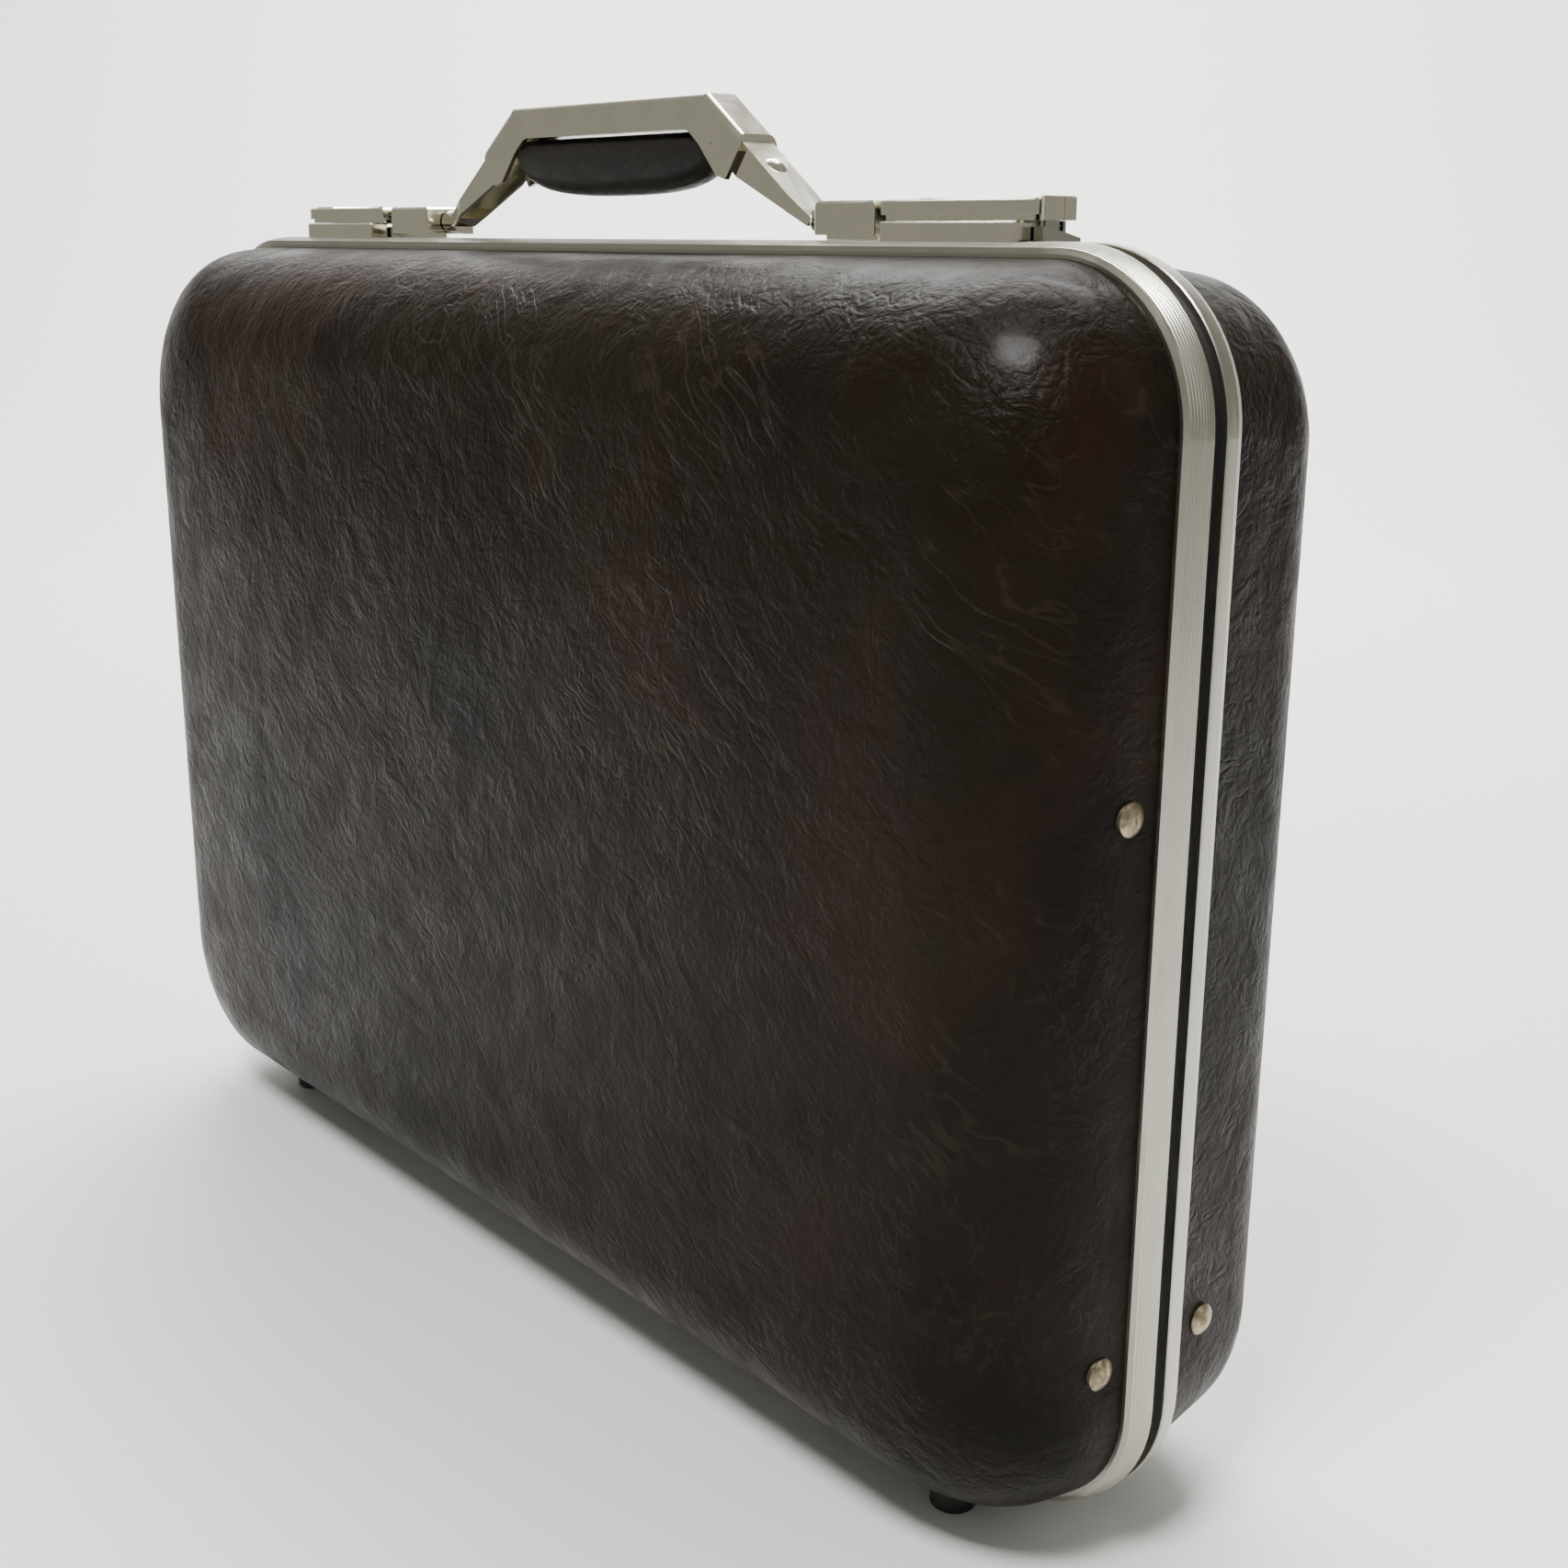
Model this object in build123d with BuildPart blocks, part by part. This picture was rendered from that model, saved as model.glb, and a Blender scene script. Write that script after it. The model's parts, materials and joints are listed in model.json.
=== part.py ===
"""Hard-shell attache case: two moulded halves in metal frames, with latches, handle and lid stays.

The case stands on its hinge side: +X along its length, +Y through its thickness, +Z up to the
handle. The base half is on +Y and the lid half on -Y. The origin is on the ground, midway
between the feet. Lengths are in millimetres.
"""

import os
from math import atan2, cos, hypot, pi, radians, sin, tan

from build123d import *

os.makedirs("parts", exist_ok=True)

# ---------------------------------------------------------------- driving dimensions
LENGTH = 457.0  # outline of the covered shells, 18 in
HEIGHT = 317.5  # 12.5 in
PANEL_Y = 63.5  # middle of either crowned panel, from the mid plane
SHOULDER_Y = 58.5  # where a panel's crown meets the rolled edge
CROWN_W = 105.0  # width of the crown all round a panel, in to its flat middle
CORNER_R = 38.0  # corners of the outline
CORNER_FADE = 190.0  # the corners would be square this far in from the outline
LID_EDGE_R, BASE_EDGE_R = 40.0, 28.0  # rolled edges between walls and panels
LEAN = 6.0  # degrees that the walls lean in towards the panel
ROLL_STEPS, CROWN_STEPS = 6, 4  # sections lofted through either curve
WALL = 3.0  # moulded shell with its covering
FOOT_H = 9.5  # feet lift the shells off the ground

LID, BASE = -1, 1  # the side of the mid plane that each half is on
LEFT, RIGHT = -1, 1

FRAME_PROUD = 3.7  # the frames' crest stands this far out of the shells
FRAME_INNER = 4.5  # and their inner leg lies this far inside the outline
WEB = 1.5
LID_EDGE, LID_BAND = -5.5, -13.5  # parting edge and outer edge of the lid's frame
BASE_EDGE, BASE_BAND = -1.1, 6.7  # the same on the base
FLUTES, FLUTE_PITCH, FLUTE_DEPTH = 8, 0.82, 0.22
LINING = 1.2
LINING_GAP = 0.2

HINGE_Y, HINGE_Z = -3.3, 4.9  # axis of the lid
LID_OPEN = 100.0  # degrees
HINGE_X, HINGE_LEN, HINGE_R, HINGE_PIN_R = 150.0, 50.0, 2.2, 1.0

RIVET_Y, RIVET_LOW_Z, RIVET_HIGH_Z = 22.0, 62.0, 204.4  # rivets in the side walls
PIVOT_Y = 18.0  # rivet that each stay turns on
STAY_RATIO = 1.1  # the stay turns this much faster than the lid
STAY_TIP_Y, STAY_TIP_Z = -37.3, 189.9  # slider of the closed stay
STAY_X = 209.3  # inner face of the stay
STAY_T, STAY_W = 1.5, 9.0
TRACK_X, TRACK_T = 212.0, 1.5
SLIDER_R, SLOT_CLEARANCE = 2.4, 0.3
SHANK_R = 2.0

POST_IN, POST_OUT = 97.5, 120.3  # handle posts along X
POST_FRONT, POST_BACK = -4.2, 15.3
POST_LOW, POST_TOP = 1.3, 9.9  # above the frames' crest
HANDLE_Y = 5.5
PIVOT_H = 5.2  # handle's pivot above the crest
HANDLE_TOP = 39.4
HANDLE_HALF = 48.0  # half of the flat top
HANDLE_W = 14.4
HANDLE_SLOPE = 36.6  # degrees
COVER_T, COVER_DEPTH, COVER_END = 1.5, 9.8, 22.0
COVER_LOW = 29.9  # lower edge of the cover's long flanges above the crest
ARM_T, ARM_W = 1.4, HANDLE_W - 2 * COVER_T - 0.2
ARM_TOP = COVER_T + 0.05  # the arm's plate lies just under the cover's
RIVET_ALONG = 30.8  # rivet of each arm, down the slope
GRIP_LOW, GRIP_W = 12.4, 15.4
PIN_IN, HANDLE_PIN_R = 91.8, 1.6

LATCH_IN, LATCH_OUT = 124.0, 175.8  # latches along X
KEEPER_IN, KEEPER_OUT = 127.0, 172.0
HASP_FRONT, HASP_BACK = -4.8, 13.2
HASP_PIN_Y, HASP_PIN_H, HASP_PIN_R = 11.0, 6.4, 1.0
SLIDE_IN = 163.5  # inner end of the thumb slide

KEEPER_FRONT, KEEPER_BACK = -8.0, -1.6
TONGUE = (142.0, 158.0)  # hasp's tongue along X
KNUCKLES_BASE = ((126.0, 131.2), (157.2, 162.4))
KNUCKLES_HASP = ((131.5, 139.5), (148.7, 156.9))
SPRING_POST = (171.0, 172.4)
LATCH_RIVET_X, LATCH_RIVET_Y, LATCH_RIVET_R = (136.0, 154.0), 5.0, 1.2
LOCK_X, LOCK_Y, LOCK_R = 134.0, 2.8, 3.4
SCOOP_R = 14.0
SLIDE_LOW = 4.9  # underside of the thumb slide

RUNNING = 0.05  # radial clearance of a running fit

MID_Z = FOOT_H + HEIGHT / 2
TOP_Z = FOOT_H + HEIGHT
DECK = TOP_Z + FRAME_PROUD  # crest of the frames on the handle side
KEEL = FOOT_H - FRAME_PROUD  # crest of the frames on the hinge side


def save(part, name):
    """Label a finished piece and write it."""
    part.label = name
    export_step(part, f"parts/{name}.step")


# ---------------------------------------------------------------- shared shapes
def facing(side, y):
    """Plane across the case at y, centred on the outline and facing out of the given half."""
    return Plane(origin=(0, y, MID_Z), x_dir=(1, 0, 0), z_dir=(0, side, 0))


def section_at(x):
    """Plane across the length at x, drawn in Y and Z."""
    return Plane(origin=(x, 0, 0), x_dir=(0, 1, 0), z_dir=(1, 0, 0))


def half_profile(side):
    """Outer surface of a half as (inset from the outline, distance from the mid plane, angle of
    the normal): the rim, the top of the leaning wall, round the rolled edge and over the crown."""
    if side == LID:
        rim_y, radius = -LID_BAND, LID_EDGE_R
    else:
        rim_y, radius = BASE_BAND, BASE_EDGE_R
    lean, rise = radians(LEAN), PANEL_Y - SHOULDER_Y
    shoulder = pi / 2 - 2 * rise / CROWN_W
    centre_y = SHOULDER_Y - radius * sin(shoulder)
    centre_in = (centre_y + radius * sin(lean) - rim_y) * tan(lean) + radius * cos(lean)
    points = [(0, rim_y, 0)]
    for step in range(ROLL_STEPS + 1):
        angle = lean + (shoulder - lean) * step / ROLL_STEPS
        points.append((centre_in - radius * cos(angle), centre_y + radius * sin(angle), angle))
    shoulder_in = points[-1][0]
    for step in range(1, CROWN_STEPS + 1):
        left = 1 - step / CROWN_STEPS
        points.append((shoulder_in + CROWN_W * (1 - left), SHOULDER_Y + rise * (1 - left ** 2),
                       pi / 2 - (pi / 2 - shoulder) * left))
    return points


def half_body(side, y_from, inset):
    """Solid half of the case, inset from its outer surface."""
    profile = half_profile(side)
    with BuildPart() as body:
        with BuildSketch(facing(side, 0)):
            RectangleRounded(LENGTH - 2 * inset, HEIGHT - 2 * inset, CORNER_R - inset)
        extrude(amount=profile[0][1])
        for first, last in ((0, 1), (1, ROLL_STEPS + 1), (ROLL_STEPS + 1, len(profile) - 1)):
            for outer_in, outer_y, angle in profile[first:last + 1]:
                both = 2 * (outer_in + inset * cos(angle))
                corner_r = (CORNER_R - inset) * (1 - outer_in / CORNER_FADE)
                with BuildSketch(facing(side, side * (outer_y - inset * sin(angle)))):
                    RectangleRounded(LENGTH - both, HEIGHT - both, corner_r)
            loft()
        split(bisect_by=facing(side, y_from), keep=Keep.TOP)
    return body.part


def rim_path():
    """Closed rounded outline of the case, starting at the middle of the handle side."""
    half_l, half_h = LENGTH / 2, HEIGHT / 2
    with BuildLine(facing(LID, 0)) as path:
        first = Line((0, half_h), (CORNER_R - half_l, half_h))
        corner = JernArc(first @ 1, first % 1, CORNER_R, 90)
        left = Line(corner @ 1, (-half_l, CORNER_R - half_h))
        corner = JernArc(left @ 1, left % 1, CORNER_R, 90)
        bottom = Line(corner @ 1, (half_l - CORNER_R, -half_h))
        corner = JernArc(bottom @ 1, bottom % 1, CORNER_R, 90)
        right = Line(corner @ 1, (half_l, half_h - CORNER_R))
        corner = JernArc(right @ 1, right % 1, CORNER_R, 90)
        Line(corner @ 1, first @ 0)
    return path.wires()[0]


def rim(points):
    """Ring around the case with a section given as (y, distance outside the outline)."""
    with BuildPart() as ring:
        with BuildSketch(Plane(origin=(0, 0, TOP_Z), x_dir=(0, 1, 0), z_dir=(1, 0, 0))):
            with BuildLine():
                Polyline(*points, close=True)
            make_face()
        sweep(path=rim_path())
    return ring.part


def channel(edge, band, side):
    """Inner half of a frame's section: leg, web and the slot that takes the shell's edge."""
    slot = WALL + RUNNING
    return [
        (edge, -FRAME_INNER),
        (band, -FRAME_INNER),
        (band, -slot),
        (edge + side * WEB, -slot),
        (edge + side * WEB, RUNNING),
        (band, RUNNING),
    ]


def rivet(head_r, dome, skirt, shank_r, shank_len):
    """Domed rivet along +Z, its head's rim at the origin and its skirt reaching below it."""
    with BuildPart() as body:
        with BuildSketch(Plane.XZ):
            with BuildLine():
                TangentArc((0, dome), (head_r, 0), tangent=(1, 0))
                Polyline(
                    (head_r, 0),
                    (head_r, -skirt),
                    (shank_r, -skirt),
                    (shank_r, -shank_len),
                    (0, -shank_len),
                    (0, dome),
                )
            make_face()
        revolve(axis=Axis.Z)
    return body.part


def spring_coils(coil_r, wire_r, turns, x_from):
    """Close-wound spring along X from x_from, hollow, with a rounded ridge for each turn."""
    with BuildPart() as body:
        with BuildSketch(Plane.XY):
            for turn in range(turns):
                with Locations((x_from + wire_r * (2 * turn + 1), coil_r)):
                    Circle(wire_r)
            with Locations((x_from + wire_r * turns, coil_r)):
                Rectangle(2 * wire_r * turns - wire_r, wire_r)
        revolve(axis=Axis.X)
    return body.part


# ---------------------------------------------------------------- shells, frames and linings
def side_holes(points, radius):
    """Bores along X through both side walls at each (y, z)."""
    for y, z in points:
        with Locations(Location((0, y, z), (0, 90, 0))):
            Cylinder(radius, 2 * LENGTH, mode=Mode.SUBTRACT)


LID_RIVETS = [(-RIVET_Y, RIVET_LOW_Z), (-RIVET_Y, RIVET_HIGH_Z)]
BASE_RIVETS = [(PIVOT_Y, RIVET_LOW_Z)]

with BuildPart() as lid_shell:
    add(half_body(LID, LID_EDGE - WEB, 0))
    add(half_body(LID, 0, WALL), mode=Mode.SUBTRACT)
    side_holes(LID_RIVETS, SHANK_R)

with BuildPart() as base_shell:
    add(half_body(BASE, BASE_EDGE + WEB, 0))
    add(half_body(BASE, 0, WALL), mode=Mode.SUBTRACT)
    side_holes(BASE_RIVETS, SHANK_R)


def lid_crown(y):
    """Height of the lid frame's crowned band at y."""
    return FRAME_PROUD - 1.5 * ((y - LID_EDGE) / (LID_BAND - LID_EDGE)) ** 2


fluted = [(LID_BAND, 1.0), (LID_BAND + 0.6, lid_crown(LID_BAND + 0.6))]
for flute in range(FLUTES):
    middle = LID_BAND + 1.35 + flute * FLUTE_PITCH
    for offset_y, depth in ((-0.25, 0), (0, FLUTE_DEPTH), (0.25, 0)):
        fluted.append((middle + offset_y, lid_crown(middle + offset_y) - depth))
fluted.append((LID_EDGE - 0.3, FRAME_PROUD))
fluted.append((LID_EDGE, FRAME_PROUD - 0.3))

smooth = [(BASE_BAND, 0.8), (BASE_BAND - 0.5, 2.0), (BASE_BAND - 1.8, 2.9), (BASE_BAND - 3.6, 3.5)]
smooth += [(BASE_EDGE + 1.6, FRAME_PROUD), (BASE_EDGE + 0.3, FRAME_PROUD)]
smooth += [(BASE_EDGE, FRAME_PROUD - 0.3)]

hinge_rivet_x = [side * HINGE_X + step for side in (LEFT, RIGHT) for step in (-18, 0, 18)]
LID_LEAF_Y, BASE_LEAF_Y = -9.6, 2.9  # rows of rivets in the hinge leaves


def frame_drillings(y):
    """Blind bores for the hinge rivets in a frame's crest on the hinge side."""
    for x in hinge_rivet_x:
        with Locations((x, y, KEEL + 1.5)):
            Cylinder(HINGE_PIN_R, 6, mode=Mode.SUBTRACT)


with BuildPart() as lid_frame:
    add(rim(channel(LID_EDGE, LID_BAND, LID) + fluted))
    frame_drillings(LID_LEAF_Y)

with BuildPart() as base_frame:
    add(rim(channel(BASE_EDGE, BASE_BAND, BASE) + smooth))
    frame_drillings(BASE_LEAF_Y)
    for x in (-LATCH_RIVET_X[1], -LATCH_RIVET_X[0], *LATCH_RIVET_X):
        with Locations((x, LATCH_RIVET_Y, DECK)):
            Cylinder(LATCH_RIVET_R, 4.4, mode=Mode.SUBTRACT)

# Black seal on the base frame's parting face, recessed between the two crests.
seal_back, seal_front = BASE_EDGE, LID_EDGE + 0.4
seal_section = [(seal_back, -WALL), (seal_back, 1.2), (seal_back - 1.2, 1.2), (seal_back - 1.5, 0.7)]
seal_section += [(seal_back - 2.5, 0.7), (seal_back - 2.8, 1.2), (seal_front, 1.2), (seal_front, -WALL)]
with BuildPart() as parting_seal:
    add(rim(seal_section))


def lining(side, y_from, holes):
    """Fabric-covered board lining of one half, just clear of the moulded shell."""
    outer = WALL + LINING_GAP
    with BuildPart() as board:
        add(half_body(side, y_from, outer))
        add(half_body(side, 0, outer + LINING), mode=Mode.SUBTRACT)
        side_holes(holes, SHANK_R)
    return board


lid_lining = lining(LID, LID_BAND - 3.0, LID_RIVETS)
base_lining = lining(BASE, BASE_BAND + 3.0, BASE_RIVETS)


# ---------------------------------------------------------------- lid stays
def stay_slot():
    """Path of the slider as the lid's track sees it while the lid opens."""
    pivot = (PIVOT_Y - HINGE_Y, RIVET_LOW_Z - HINGE_Z)
    reach = (STAY_TIP_Y - PIVOT_Y, STAY_TIP_Z - RIVET_LOW_Z)
    length, start = hypot(*reach), atan2(reach[1], reach[0])
    steps = 8
    path = []
    for step in range(steps + 1):
        turn = radians(LID_OPEN) * step / steps
        arm = start + (STAY_RATIO - 1) * turn
        y = pivot[0] * cos(turn) + pivot[1] * sin(turn) + length * cos(arm)
        z = pivot[1] * cos(turn) - pivot[0] * sin(turn) + length * sin(arm)
        path.append((HINGE_Y + y, HINGE_Z + z))
    return path


def stay_track(side):
    """Slotted plate riveted inside the lid's side wall, which the stay's slider runs in."""
    slot_path = stay_slot()
    slot_r = SLIDER_R + SLOT_CLEARANCE
    with BuildPart() as track:
        with BuildSketch(section_at(side * (TRACK_X + TRACK_T / 2))):
            with Locations(*slot_path):
                Circle(slot_r + 2.4)
            with Locations(*LID_RIVETS):
                Circle(SHANK_R + 4)
            make_hull()
            with BuildLine():
                Spline(*slot_path)
            trace(line_width=2 * slot_r, mode=Mode.SUBTRACT)
            with Locations(slot_path[0], slot_path[-1]):
                Circle(slot_r, mode=Mode.SUBTRACT)
            with Locations(*LID_RIVETS):
                Circle(SHANK_R, mode=Mode.SUBTRACT)
        extrude(amount=TRACK_T / 2, both=True)
    return track


def stay_arm(side):
    """Flat stay from its pivot rivet in the base to its slider in the lid's track."""
    middle = ((PIVOT_Y + STAY_TIP_Y) / 2, (RIVET_LOW_Z + STAY_TIP_Z) / 2)
    reach = (STAY_TIP_Y - PIVOT_Y, STAY_TIP_Z - RIVET_LOW_Z)
    ends = [(PIVOT_Y, RIVET_LOW_Z), (STAY_TIP_Y, STAY_TIP_Z)]
    with BuildPart() as arm:
        with BuildSketch(section_at(side * (STAY_X + STAY_T / 2))):
            with Locations(Location((*middle, 0), (0, 0, atan2(reach[1], reach[0]) * 180 / pi))):
                SlotOverall(hypot(*reach) + STAY_W, STAY_W)
            with Locations(ends[0]):
                Circle(SHANK_R + RUNNING, mode=Mode.SUBTRACT)
            with Locations(ends[1]):
                Circle(SHANK_R, mode=Mode.SUBTRACT)
        extrude(amount=STAY_T / 2, both=True)
    return arm


def turned_along_x(side, y, z, steps):
    """Round pin along X made of (from, to, radius) lengths, mirrored to the given side."""
    with BuildPart() as pin:
        for x_from, x_to, radius in steps:
            with Locations(Location((side * (x_from + x_to) / 2, y, z), (0, 90, 0))):
                Cylinder(radius, x_to - x_from)
    return pin


def stay_slider(side):
    """Headed pin in the stay's tip, its collar running in the track's slot."""
    return turned_along_x(side, STAY_TIP_Y, STAY_TIP_Z, [
        (STAY_X - 1.6, STAY_X, 3.6), (STAY_X, STAY_X + STAY_T, SHANK_R),
        (STAY_X + STAY_T, TRACK_X + TRACK_T + 0.5, SLIDER_R)])


def side_rivets(points, inner_steps, shell, board):
    """Domed side-wall rivets at both ends of the case, seated on the leaning wall, with the
    collars and heads that inner_steps gives inside."""
    with BuildPart() as rivets:
        for side in (LEFT, RIGHT):
            for y, z in points:
                with Locations(Location((side * (LENGTH / 2 - 0.4), y, z), (0, side * 90, 0))):
                    add(rivet(4.2, 1.6, 2.5, SHANK_R, 10))
                add(turned_along_x(side, y, z, inner_steps).part)
        add(shell.part, mode=Mode.SUBTRACT)
        add(board.part, mode=Mode.SUBTRACT)
    return rivets


track_rivets = side_rivets(
    LID_RIVETS,
    [(TRACK_X - 1.0, TRACK_X, 3.5), (TRACK_X, TRACK_X + TRACK_T, SHANK_R),
     (TRACK_X + TRACK_T, LENGTH / 2 - 5, 3.5), (LENGTH / 2 - 6, LENGTH / 2 - 1, SHANK_R)],
    lid_shell, lid_lining)
pivot_rivets = side_rivets(
    BASE_RIVETS,
    [(STAY_X - 1.8, STAY_X - 0.3, 3.8), (STAY_X - 1, STAY_X + STAY_T + 0.3, SHANK_R),
     (STAY_X + STAY_T + 0.3, LENGTH / 2 - 5, 3.8), (LENGTH / 2 - 6, LENGTH / 2 - 1, SHANK_R)],
    base_shell, base_lining)


# ---------------------------------------------------------------- hinges and feet
KNUCKLES, KNUCKLE_GAP = 5, 0.3
KNUCKLE_LEN = HINGE_LEN / KNUCKLES


def hinge_leaf(side, y_near, y_far, first_knuckle):
    """Leaves of both hinges on one half, with every second knuckle from first_knuckle."""
    with BuildPart() as leaf:
        for hinge in (LEFT, RIGHT):
            with Locations((hinge * HINGE_X, (y_near + y_far) / 2, KEEL - 0.6)):
                Box(HINGE_LEN, abs(y_far - y_near), 1.2)
            for index in range(first_knuckle, KNUCKLES, 2):
                x = hinge * HINGE_X + (index - (KNUCKLES - 1) / 2) * KNUCKLE_LEN
                width = KNUCKLE_LEN - KNUCKLE_GAP
                with Locations((x, (HINGE_Y + y_near) / 2, KEEL - 0.6)):
                    Box(width, abs(y_near - HINGE_Y) + 0.2, 1.2)
                with Locations(Location((x, HINGE_Y, HINGE_Z), (0, 90, 0))):
                    Cylinder(HINGE_R, width)
        for hinge in (LEFT, RIGHT):
            with Locations(Location((hinge * HINGE_X, HINGE_Y, HINGE_Z), (0, 90, 0))):
                Cylinder(HINGE_PIN_R + RUNNING, HINGE_LEN + 2, mode=Mode.SUBTRACT)
        rivet_y = LID_LEAF_Y if side == LID else BASE_LEAF_Y
        for x in hinge_rivet_x:
            with Locations((x, rivet_y, KEEL)):
                Cylinder(HINGE_PIN_R, 4, mode=Mode.SUBTRACT)
    return leaf


lid_hinge_leaves = hinge_leaf(LID, -5.65, -13.0, 1)
base_hinge_leaves = hinge_leaf(BASE, -0.95, 6.5, 0)

with BuildPart() as hinge_pins:
    for hinge in (LEFT, RIGHT):
        with Locations(Location((hinge * HINGE_X, HINGE_Y, HINGE_Z), (0, 90, 0))):
            Cylinder(HINGE_PIN_R, HINGE_LEN)


def hinge_rivets(y):
    """Small rivets up through the hinge leaves into a frame."""
    with BuildPart() as rivets:
        for x in hinge_rivet_x:
            with Locations(Location((x, y, KEEL - 1.5), (180, 0, 0))):
                add(rivet(1.9, 0.6, 0.3, HINGE_PIN_R, 4.3))
    return rivets


lid_hinge_rivets = hinge_rivets(LID_LEAF_Y)
base_hinge_rivets = hinge_rivets(BASE_LEAF_Y)

FOOT_X, FOOT_Y, FOOT_R = 180.0, 22.0, 6.5


def feet(side, shell):
    """Two rubber feet under one half, seated on the shell's leaning wall."""
    with BuildPart() as pair:
        for end in (LEFT, RIGHT):
            with BuildSketch(Plane.XY.move(Location((end * FOOT_X, side * FOOT_Y, 0)))):
                Circle(FOOT_R)
            extrude(amount=FOOT_H + WALL)
        ground = pair.faces().filter_by(Plane.XY).group_by(Axis.Z)[0]
        fillet(ground.edges(), 1.2)
        add(shell.part, mode=Mode.SUBTRACT)
    return pair


lid_feet = feet(LID, lid_shell)
base_feet = feet(BASE, base_shell)


# ---------------------------------------------------------------- handle
def handle_post(side):
    """Block on the base's frame that carries one end of the handle."""
    middle_x = side * (POST_IN + POST_OUT) / 2
    with BuildPart() as post:
        with Locations((middle_x, (POST_FRONT + POST_BACK) / 2, DECK + (POST_LOW + POST_TOP) / 2)):
            Box(POST_OUT - POST_IN, POST_BACK - POST_FRONT, POST_TOP - POST_LOW)
        fillet(post.edges().filter_by(Axis.Z), 1.2)
        chamfer(post.faces().sort_by(Axis.Z)[-1].edges(), 0.6)
        with Locations((middle_x, 2.2, DECK)):
            Box(POST_OUT - POST_IN - 3, 5.6, 2 * POST_LOW + 1)
        with Locations(Location((side * (POST_IN + 5), HANDLE_Y, DECK + PIVOT_H), (0, 90, 0))):
            Cylinder(HANDLE_PIN_R, 12, mode=Mode.SUBTRACT)
        add(base_frame.part, mode=Mode.SUBTRACT)
    return post


with BuildPart() as handle_pins:
    for side in (LEFT, RIGHT):
        pin_steps = [(PIN_IN, POST_IN + 10.5, HANDLE_PIN_R)]
        add(turned_along_x(side, HANDLE_Y, DECK + PIVOT_H, pin_steps).part)

slope = radians(HANDLE_SLOPE)


def down_slope(along, inward):
    """Point of the handle's right-hand slope, as (x, height over the crest): along it from the
    top's corner, and inward at right angles from its outer face."""
    x = HANDLE_HALF + along * cos(slope) - inward * sin(slope)
    return x, HANDLE_TOP - along * sin(slope) - inward * cos(slope)


def mirrored(points):
    """Outline symmetric about the handle's middle, from the points of its right half."""
    return points + [(-x, z) for x, z in reversed(points)]


def handle_slab(points, width):
    """Closed outline in X and Z about the handle's middle plane, extruded to a width."""
    with BuildPart() as slab:
        with BuildSketch(Plane(origin=(0, HANDLE_Y, DECK), x_dir=(1, 0, 0), z_dir=(0, -1, 0))):
            with BuildLine():
                Polyline(*points, close=True)
            make_face()
        extrude(amount=width / 2, both=True)
    return slab.part


with BuildPart() as handle_cover:
    add(handle_slab(mirrored([
        down_slope(0, 0), down_slope(COVER_END - 3, 0), down_slope(COVER_END, 3.5),
        down_slope(COVER_END, COVER_DEPTH + 3), down_slope(COVER_END - 4, COVER_DEPTH + 4.5),
        (46.5, 25.5), (41.0, COVER_LOW)]), HANDLE_W))
    throat = handle_cover.edges().filter_by(Axis.Y)
    throat = throat.filter_by_position(Axis.Z, DECK + COVER_LOW - 0.1, DECK + COVER_LOW + 0.1)
    fillet(throat, 6)
    upper = [edge for edge in handle_cover.edges() if edge.center().Z > DECK + COVER_LOW + 1
             and abs(abs(edge.center().Y - HANDLE_Y) - HANDLE_W / 2) < 0.01]
    fillet(upper, 2.6)
    add(handle_slab(mirrored([
        down_slope(0.6, COVER_T), down_slope(COVER_END + 9, COVER_T),
        down_slope(COVER_END + 9, 30), (35.0, 10.0)]), HANDLE_W - 2 * COVER_T),
        mode=Mode.SUBTRACT)

with BuildPart() as handle_core:
    with Locations((0, HANDLE_Y, DECK + (COVER_LOW + HANDLE_TOP - COVER_T) / 2)):
        Box(80, ARM_W, HANDLE_TOP - COVER_T - COVER_LOW - 0.4)
    chamfer(handle_core.edges().filter_by(Axis.X), 0.8)

with BuildPart() as handle_grip:
    with BuildSketch(Plane(origin=(0, HANDLE_Y, DECK), x_dir=(1, 0, 0), z_dir=(0, -1, 0))):
        with BuildLine():
            ThreePointArc((-44, 15.4), (0, GRIP_LOW), (44, 15.4))
            Polyline((44, 15.4), (50, 19.8), (45.4, 25.2), (40.4, COVER_LOW - 0.4),
                     (-40.4, COVER_LOW - 0.4), (-45.4, 25.2), (-50, 19.8), (-44, 15.4))
        make_face()
    extrude(amount=GRIP_W / 2, both=True)
    chamfer(handle_grip.edges().filter_by(GeomType.CIRCLE), 3.5)


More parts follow.
